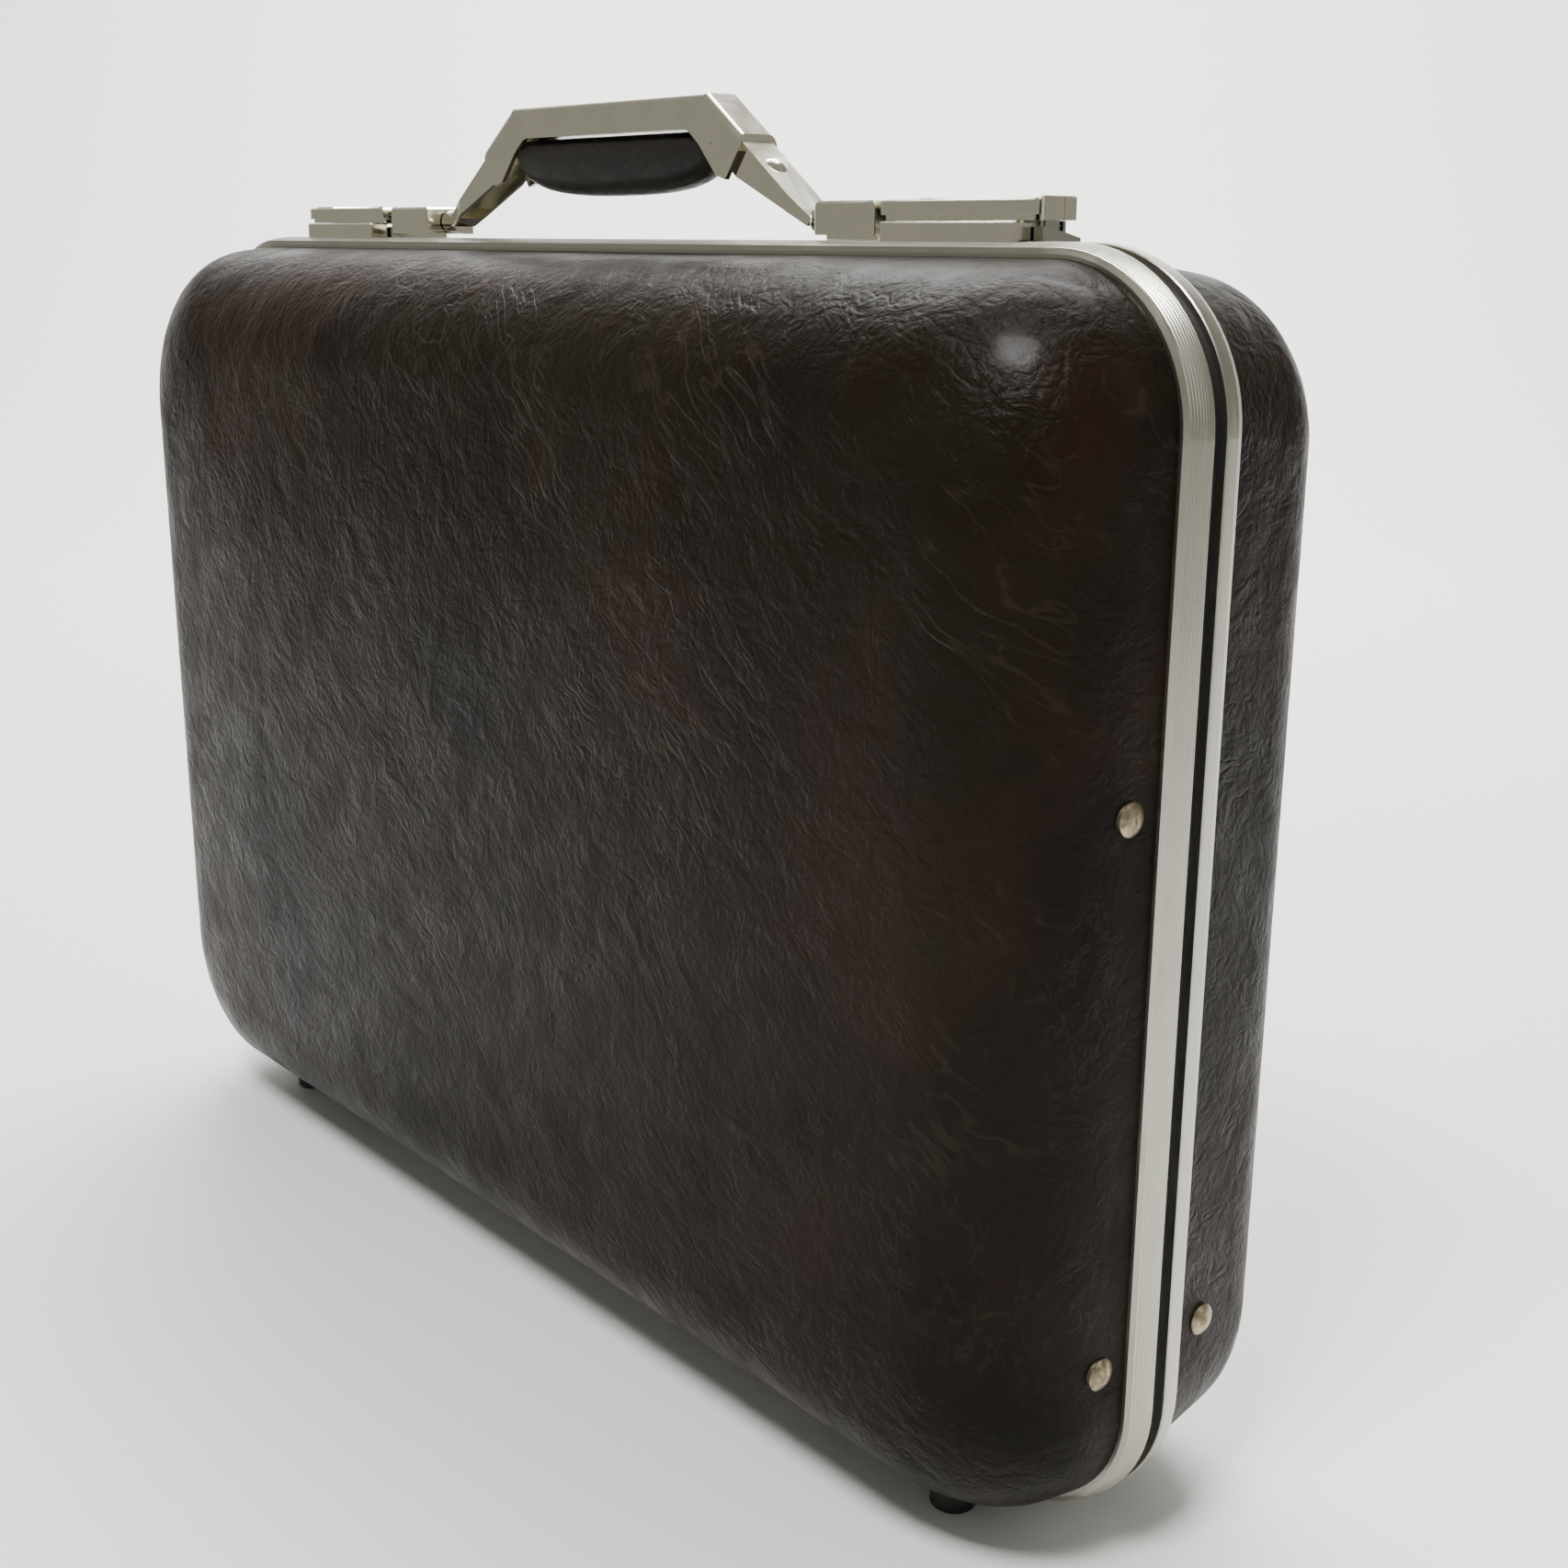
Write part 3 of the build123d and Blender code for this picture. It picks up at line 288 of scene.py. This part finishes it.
MATERIALS = {
    "grained_vinyl": grained_vinyl(),
    "frame_aluminium": aluminium((0.42, 0.41, 0.35)),
    "bright_plating": plating("bright_plating", (0.78, 0.75, 0.63), 0.07),
    "dark_plating": plating("dark_plating", (0.42, 0.41, 0.37), 0.18),
    "bright_steel": plating("bright_steel", (0.55, 0.55, 0.54), 0.24),
    "spring_steel": plating("spring_steel", (0.40, 0.40, 0.41), 0.30),
    "aged_brass": aged_brass(),
    "grip_leather": leather("grip_leather", (0.0065, 0.0052, 0.0045), (0.014, 0.011, 0.009), 900),
    "lining_cloth": suede(),
    "pocket_leather": leather("pocket_leather", (0.13, 0.07, 0.038), (0.19, 0.11, 0.065), 620),
    "seal_rubber": rubber("seal_rubber", (0.010, 0.010, 0.011)),
    "foot_rubber": rubber("foot_rubber", (0.018, 0.018, 0.018)),
}
THREAD = thread()

for row in frame["record"]["subparts"]:
    cad = frame["nodes"][row["node"]]
    cad.data.materials.clear()
    cad.data.materials.append(MATERIALS[row["material_slot"]])


# ---------------------------------------------------------------- made pieces
def piece(name, verts, faces, slot, body):
    """New smooth mesh piece that rides on a body and takes a slot's material."""
    mesh = bpy.data.meshes.new(name)
    mesh.from_pydata(verts, [], faces)
    mesh.validate()
    outward = bmesh.new()
    outward.from_mesh(mesh)
    bmesh.ops.recalc_face_normals(outward, faces=outward.faces)
    outward.to_mesh(mesh)
    outward.free()
    mesh.shade_smooth()
    made = bpy.data.objects.new(name, mesh)
    bpy.context.scene.collection.objects.link(made)
    mesh.materials.append(MATERIALS[slot])
    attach(made, body)
    return made


def loft(rings):
    """Vertices and faces that join rings of equal length, with a face over either end."""
    count = len(rings[0])
    verts = [point for ring in rings for point in ring]
    faces = []
    for ring in range(len(rings) - 1):
        for step in range(count):
            after = (step + 1) % count
            faces.append((ring * count + step, ring * count + after,
                          (ring + 1) * count + after, (ring + 1) * count + step))
    faces.append(tuple(reversed(range(count))))
    faces.append(tuple((len(rings) - 1) * count + step for step in range(count)))
    return verts, faces


def joined(parts):
    """One list of vertices and one of faces out of several pairs of them."""
    verts, faces = [], []
    for more_verts, more_faces in parts:
        base = len(verts)
        verts += more_verts
        faces += [tuple(base + v for v in face) for face in more_faces]
    return verts, faces


def handle_grip():
    """Leather-wrapped grip: flat against the cover, full and rounded below, drawn in at its ends."""
    low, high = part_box("handle_grip")
    middle_y, half_w = (low.y + high.y) / 2, (high.y - low.y) / 2
    half_l, top, bottom = (high.x - low.x) / 2, high.z, low.z
    sections, around, squareness = 41, 40, 2 / 2.6
    rings = []
    for section in range(sections):
        along = -cos(pi * section / (sections - 1))
        end = (1 - abs(along) ** 5) ** 0.5 if abs(along) < 1 else 0.0
        width = half_w * (0.55 + 0.45 * end) * (0.93 + 0.07 * (1 - along ** 2))
        depth = (top - bottom) * (0.30 + 0.70 * end) * (0.86 + 0.14 * (1 - along ** 2))
        ring = []
        for step in range(around):
            turn = 2 * pi * step / around
            y = middle_y + copysign(width * abs(cos(turn)) ** squareness, cos(turn))
            z = top - depth / 2 + copysign(depth / 2 * abs(sin(turn)) ** squareness, sin(turn))
            ring.append((half_l * along * 0.985, y, z))
        rings.append(ring)
    grip = piece("grip_wrap", *loft(rings), "grip_leather", "handle")
    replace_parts(grip, "handle_grip")


def slide_coil(side):
    """Open coil of round wire in a slide spring's space."""
    low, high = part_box(f"slide_spring_{side}")
    wire, turns, per_turn, sides = 0.16 * MM, 4, 24, 8
    middle = Vector((0, (low.y + high.y) / 2, (low.z + high.z) / 2))
    radius, steps = (high.z - low.z) / 2 - wire, turns * per_turn
    around = [2 * pi * k / sides for k in range(sides)]
    rings = []
    for step in range(steps + 1):
        turn = 2 * pi * step / per_turn
        out = Vector((0, cos(turn), sin(turn)))
        x = low.x + wire + (high.x - low.x - 2 * wire) * step / steps
        centre = middle + out * radius + Vector((x, 0, 0))
        rings.append([centre + out * wire * cos(angle) - Vector((wire * sin(angle), 0, 0))
                      for angle in around])
    coil = piece(f"slide_coil_{side}", *loft(rings), "spring_steel", "base")
    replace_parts(coil, f"slide_spring_{side}")
    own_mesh(coil)


def eased(distance, start, width):
    """0 up to start, then a smooth rise to 1 over a width."""
    share = min(1.0, max(0.0, (distance - start) / width))
    return share * share * (3 - 2 * share)


def patch_pocket(name, node, flange, rise, skin):
    """Leather patch pocket in its CAD solid's space: a flat flange sewn down on three sides, a
    full front that rises from it, and an open top edge that is turned over into a hem."""
    low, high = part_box(node)
    depth, columns, rows = high.y - low.y - skin, 96, 48
    hem_h, fold_h, mouth_h = 5 * MM, 0.8 * MM, 30 * MM
    fronts, backs = [], []
    for row in range(rows + 1):
        z = low.z + (high.z - low.z) * row / rows
        up = z - low.z
        hem = skin * 0.45 * (1 - eased(high.z - z, hem_h, fold_h))
        lip = 0.35 * MM * (1 - eased(high.z - z, 0, fold_h))
        for column in range(columns + 1):
            share = (1 - cos(pi * column / columns)) / 2
            x = low.x + (high.x - low.x) * share
            side = min(x - low.x, high.x - x)
            full = eased(side, flange, rise) * eased(up, flange, rise)
            slack = 0.12 * depth * sin(pi * share) ** 2 * (up / (high.z - low.z)) ** 2
            puckers = 0.10 * MM * sin(x * 900) * full * (1 - eased(high.z - z, 0, mouth_h))
            y = low.y + depth * full - slack * full + puckers
            fronts.append((x, y + skin * 0.92 - lip, z))
            backs.append((x, y + skin * 0.1 - hem * full + lip, z))
    wide, total = columns + 1, len(fronts)
    faces = []
    for row in range(rows):
        for column in range(columns):
            first = row * wide + column
            quad = (first, first + 1, first + 1 + wide, first + wide)
            faces.append(tuple(reversed(quad)))
            faces.append(tuple(total + v for v in quad))
    edge = [*range(wide), *(row * wide + columns for row in range(1, rows + 1)),
            *range(rows * wide + columns - 1, rows * wide - 1, -1),
            *(row * wide for row in range(rows - 1, 0, -1))]
    for index, first in enumerate(edge):
        after = edge[(index + 1) % len(edge)]
        faces.append((first, after, total + after, total + first))
    made = piece(name, fronts + backs, faces, "pocket_leather", "lid")
    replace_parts(made, node)


def organiser_board():
    """Leather-covered board with a rolled edge and a sunk line of sewing round it."""
    low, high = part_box("organiser_panel")
    half_x, half_z = (high.x - low.x) / 2, (high.z - low.z) / 2
    middle_x, middle_z = (high.x + low.x) / 2, (high.z + low.z) / 2
    corner, least_corner, thick, corner_steps = 28 * MM, 2 * MM, high.y - low.y, 12
    # Each ring's distance in from the edge in mm, and its height as a share of the thickness.
    section = [(30, 0.10), (6, 0.10), (1.2, 0.06), (0.3, 0.25), (0, 0.5), (0.3, 0.75), (1.2, 0.94),
               (3.2, 1.0), (4.4, 0.98), (5.0, 0.72), (5.6, 0.98), (7, 1.0), (30, 0.96)]
    rings = []
    for inward, height in section:
        inward *= MM
        radius = max(corner - inward, least_corner)
        ring = []
        for quarter in range(4):
            way_x, way_z = ((1, 1), (-1, 1), (-1, -1), (1, -1))[quarter]
            for step in range(corner_steps + 1):
                turn = pi / 2 * (quarter + step / corner_steps)
                ring.append((middle_x + way_x * (half_x - inward - radius) + radius * cos(turn),
                             low.y + thick * height,
                             middle_z + way_z * (half_z - inward - radius) + radius * sin(turn)))
        rings.append(ring)
    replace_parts(piece("organiser_board", *loft(rings), "pocket_leather", "lid"), "organiser_panel")


def pen_loop_straps():
    """Three leather straps, each sewn down at both edges and arched over a pen."""
    low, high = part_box("pen_loops")
    straps, pitch, skin, arch_steps = 3, 24 * MM, 1.1 * MM, 16
    half_w = (high.x - low.x - (straps - 1) * pitch) / 2
    arch, sewn_from = half_w * 0.64, half_w * 0.85
    turns = [pi * k / arch_steps for k in range(arch_steps + 1)]
    lofts = []
    for index in range(straps):
        centre = low.x + half_w + index * pitch
        path = [(-half_w, 0), (-sewn_from, 0)]
        path += [(-arch * cos(turn), (high.y - low.y - skin) * sin(turn) ** 0.62) for turn in turns]
        path += [(sewn_from, 0), (half_w, 0)]
        rings = []
        for share, inset in ((0, 0.3), (0.015, 0.08), (0.05, 0), (0.5, 0), (0.95, 0), (0.985, 0.08),
                             (1, 0.3)):
            outer, inner = [], []
            for x, y in path:
                reach = hypot(x, y) or 1.0
                flat = y == 0
                trim = (0, skin) if flat else (-x / reach * skin, -y / reach * skin)
                outer.append((x + trim[0] * inset * (not flat), y + skin - (skin * inset * flat)))
                inner.append((x + (0 if flat else trim[0]), y + (skin * 0.1 if flat else 0.0)))
            ring = [(centre + x, low.y + y, low.z + (high.z - low.z) * share)
                    for x, y in outer + inner[::-1]]
            rings.append(ring)
        lofts.append(loft(rings))
    verts, faces = joined(lofts)
    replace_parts(piece("pen_loop_straps", verts, faces, "pocket_leather", "lid"), "pen_loops")


def stitches(name, runs, body):
    """Rows of raised thread stitches along straight runs, each (from, to) with +Y as its outside."""
    pitch, radius, around = 3.2 * MM, 0.32 * MM, 6
    turns = [2 * pi * k / around for k in range(around)]
    lofts = []
    for start, stop in runs:
        start, stop = Vector(start), Vector(stop)
        count = max(1, round((stop - start).length / pitch))
        way = (stop - start).normalized()
        side = way.cross(Vector((0, 1, 0)))
        for index in range(count):
            middle = start + way * pitch * (index + 0.5)
            rings = []
            for along in (-1, -0.75, 0, 0.75, 1):
                size = radius * max(0.25, (1 - abs(along) ** 3) ** 0.5)
                centre = middle + way * along * pitch * 0.36
                rings.append([centre + side * cos(turn) * size + Vector((0, sin(turn) * size, 0))
                              for turn in turns])
            lofts.append(loft(rings))
    sewn = piece(name, *joined(lofts), "pocket_leather", body)
    sewn.data.materials.clear()
    sewn.data.materials.append(THREAD)


def pocket_stitching(pocket, inset, flange_top):
    """Sewing down both sides and along the bottom of a pocket's flange."""
    low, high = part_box(pocket)
    left, right, bottom, y = low.x + inset, high.x - inset, low.z + inset, low.y + flange_top
    corners = [(left, y, high.z), (left, y, bottom), (right, y, bottom), (right, y, high.z)]
    stitches(f"{pocket}_stitching", list(zip(corners, corners[1:])), "lid")


handle_grip()
organiser_board()
patch_pocket("file_pocket_leather", "file_pocket", 6 * MM, 11 * MM, 1.5 * MM)
patch_pocket("card_pocket_leather", "card_pocket", 4 * MM, 4 * MM, 1.1 * MM)
pen_loop_straps()
slide_coil("left")
slide_coil("right")
pocket_stitching("file_pocket", 3 * MM, 1.38 * MM)
pocket_stitching("card_pocket", 2 * MM, 1.0 * MM)


# ---------------------------------------------------------------- studio
def paper():
    """Matt pale paper of the backdrop."""
    made = Shader("pale_paper", Roughness=0.9)
    made.set("Base Color", (0.86, 0.86, 0.85, 1))
    return made.material


def backdrop(yaw):
    """Pale floor that curves up into a wall behind the case, square to the camera."""
    away = Vector((-sin(yaw), cos(yaw), 0))
    across = Vector((cos(yaw), sin(yaw), 0))
    near, bend_from, bend_r, top, half_w, steps = -4.0, 1.4, 1.0, 4.0, 5, 12
    profile = [(near, 0.0), (bend_from, 0.0)]
    for step in range(1, steps + 1):
        turn = pi / 2 * step / steps
        profile.append((bend_from + sin(turn) * bend_r, bend_r - cos(turn) * bend_r))
    profile.append((bend_from + bend_r, top))
    verts = [across * side + away * along + Vector((0, 0, up))
             for along, up in profile for side in (-half_w, half_w)]
    faces = [(2 * k, 2 * k + 1, 2 * k + 3, 2 * k + 2) for k in range(len(profile) - 1)]
    mesh = bpy.data.meshes.new("backdrop")
    mesh.from_pydata(verts, [], faces)
    mesh.shade_smooth()
    mesh.materials.append(paper())
    made = bpy.data.objects.new("backdrop", mesh)
    bpy.context.scene.collection.objects.link(made)


def softbox(name, place, target, size, power):
    """Rectangular white area light at a place, turned towards a target."""
    light = bpy.data.lights.new(name, "AREA")
    light.shape = "RECTANGLE"
    light.size, light.size_y = size
    light.energy = power
    made = bpy.data.objects.new(name, light)
    made.location = place
    made.rotation_euler = (Vector(target) - Vector(place)).to_track_quat("-Z", "Y").to_euler()
    bpy.context.scene.collection.objects.link(made)


# Camera: to the right of the lid's panel and close, level with the handle's posts.
CAMERA_AT = Vector((0.4981, -0.3620, 0.3306))
YAW, PITCH, ROLL = radians(48.93), radians(15.48), radians(0.385)
LENS, SENSOR = 45.07, 36.0

forward = Vector((-sin(YAW) * cos(PITCH), cos(YAW) * cos(PITCH), -sin(PITCH)))
level = Vector((cos(YAW), sin(YAW), 0))
upright = level.cross(forward)
right = level * cos(ROLL) + upright * sin(ROLL)
up = upright * cos(ROLL) - level * sin(ROLL)
camera = bpy.data.cameras.new("camera")
camera.lens, camera.sensor_width, camera.clip_start = LENS, SENSOR, 0.01
viewer = bpy.data.objects.new("camera", camera)
turned = Matrix((right, up, -forward)).transposed().to_4x4()
viewer.matrix_world = Matrix.Translation(CAMERA_AT) @ turned
bpy.context.scene.collection.objects.link(viewer)
bpy.context.scene.camera = viewer

backdrop(YAW)
softbox("key", (0.35, -0.62, 1.25), (0.1, 0, 0.25), (0.36, 0.30), 22)
softbox("top", (-0.3, 0.5, 1.7), (0, 0, 0.2), (1.3, 0.9), 16)
softbox("side", (1.5, 0.6, 0.9), (0.2, 0, 0.15), (0.5, 0.9), 2)
softbox("wall_wash", (-0.9, 0.9, 2.3), (-1.5, 1.9, 0.5), (2.0, 1.0), 160)

world = bpy.data.worlds.new("studio")
bpy.context.scene.world = world
world.use_nodes = True
ambient = world.node_tree.nodes["Background"].inputs
ambient["Color"].default_value = (0.93, 0.91, 0.80, 1)
ambient["Strength"].default_value = 0.36
